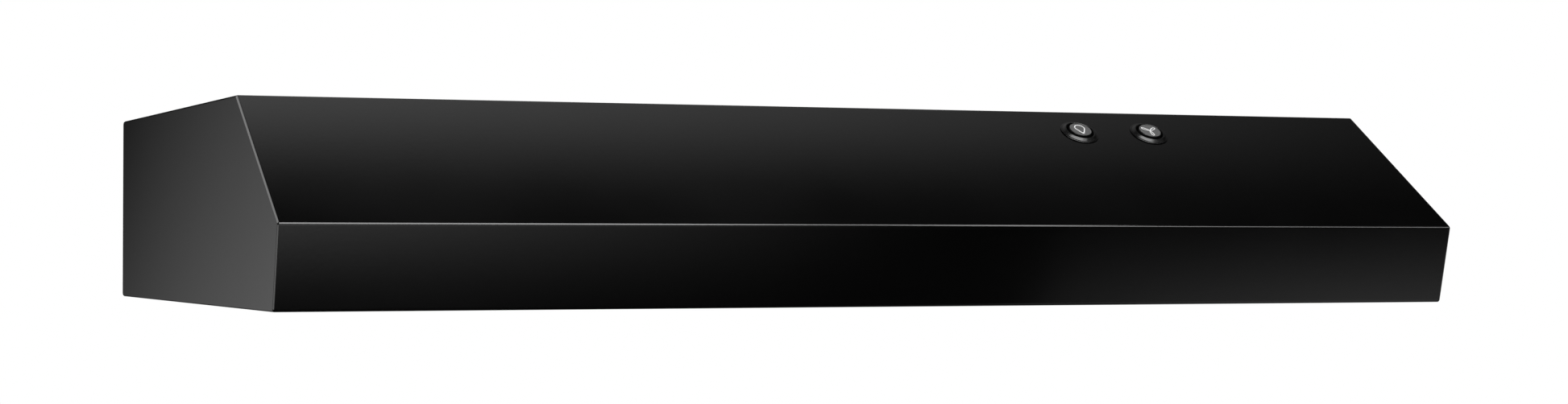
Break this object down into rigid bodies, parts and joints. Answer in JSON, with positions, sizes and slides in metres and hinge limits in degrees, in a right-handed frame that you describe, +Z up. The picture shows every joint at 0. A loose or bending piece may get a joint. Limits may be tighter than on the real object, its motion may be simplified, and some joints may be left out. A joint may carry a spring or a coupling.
{
  "type": "under cabinet range hood",
  "caption": "Slim painted-steel hood for under a wall cabinet: sloped front with push buttons, mesh filter and lamp below, blower inside, duct collar on top.",
  "frame": {"origin": "centre of the flat top face, which goes against the underside of the cabinet", "axes": "+X along the hood towards its push buttons' end, +Y towards the wall, +Z up out of the top face"},
  "size_m": [0.76, 0.5, 0.135],
  "materials": {
    "black_paint": "semi-gloss black enamel",
    "galvanised": "galvanised sheet, satin",
    "bright_steel": "plated, satin",
    "aluminium": "mill finish, satin",
    "black_plastic": "moulded, semi-gloss",
    "button_plastic": "moulded, fine matte",
    "lens_plastic": "frosted, ribbed",
    "bulb_glass": "frosted glass",
    "porcelain": "glazed",
    "lead_sheath": "matt PVC sheath"
  },
  "bodies": {
    "hood": {"blower_housing": "galvanised", "blower_inlet_plate": "galvanised", "bulb_base": "aluminium", "bulb_glass": "bulb_glass", "cable_bushing": "black_plastic", "canopy": "black_paint", "control_module": "black_plastic", "damper_rod": "bright_steel", "duct_collar": "galvanised", "fan_bezel": "black_plastic", "fan_switch": "black_plastic", "fan_switch_lead": "lead_sheath", "inlet_screw_1": "bright_steel", "inlet_screw_2": "bright_steel", "inlet_screw_3": "bright_steel", "inlet_screw_4": "bright_steel", "lamp_housing": "galvanised", "lamp_lead": "lead_sheath", "lamp_socket": "porcelain", "left_end_panel": "black_paint", "left_support_rail": "galvanised", "light_bezel": "black_plastic", "light_switch": "black_plastic", "light_switch_lead": "lead_sheath", "motor_body": "bright_steel", "motor_bracket": "galvanised", "motor_lead": "lead_sheath", "panel_screw_1": "bright_steel", "panel_screw_2": "bright_steel", "panel_screw_3": "bright_steel", "panel_screw_4": "bright_steel", "rear_panel": "black_paint", "right_end_panel": "black_paint", "right_support_rail": "galvanised", "run_capacitor": "black_plastic", "supply_lead": "lead_sheath", "switch_bracket": "galvanised", "underside_panel": "black_paint", "wiring_box": "galvanised", "wiring_box_cover": "galvanised", "wiring_cover_screw": "bright_steel"},
    "light_button": {"light_button": "button_plastic"},
    "fan_button": {"fan_button": "button_plastic"},
    "blower_rotor": {"blower_wheel": "aluminium", "motor_shaft": "bright_steel", "wheel_nut": "bright_steel"},
    "damper": {"damper_flap": "aluminium"},
    "filter": {"filter_frame": "aluminium", "filter_mesh": "aluminium"},
    "latch": {"filter_latch": "black_plastic"},
    "lens": {"light_lens": "lens_plastic"}
  },
  "joints": [
    {"name": "light_button_press", "type": "slide", "parent": "hood", "child": "light_button", "axis": [0, 0.5538, -0.8326], "range_m": [0, 0.003], "stiffness_N_per_m": 600, "springref_m": -0.001},
    {"name": "fan_button_press", "type": "slide", "parent": "hood", "child": "fan_button", "axis": [0, 0.5538, -0.8326], "range_m": [0, 0.003], "stiffness_N_per_m": 600, "springref_m": -0.001},
    {"name": "blower_spin", "type": "hinge", "parent": "hood", "child": "blower_rotor", "pos_m": [0, 0.06, -0.05], "axis": [0, 0, 1], "continuous": true},
    {"name": "damper_swing", "type": "hinge", "parent": "hood", "child": "damper", "pos_m": [0, 0.2314, -0.008], "axis": [-1, 0, 0], "range_deg": [0, 75]},
    {"name": "filter_swing", "type": "hinge", "parent": "hood", "child": "filter", "pos_m": [0, 0.188, -0.1082], "axis": [1, 0, 0], "range_deg": [0, 70]},
    {"name": "filter_latch_slide", "type": "slide", "parent": "filter", "child": "latch", "axis": [0, 1, 0], "range_m": [0, 0.005], "stiffness_N_per_m": 400, "springref_m": -0.001},
    {"name": "lens_swing", "type": "hinge", "parent": "hood", "child": "lens", "pos_m": [0, -0.132, -0.1082], "axis": [1, 0, 0], "range_deg": [0, 75]}
  ]
}
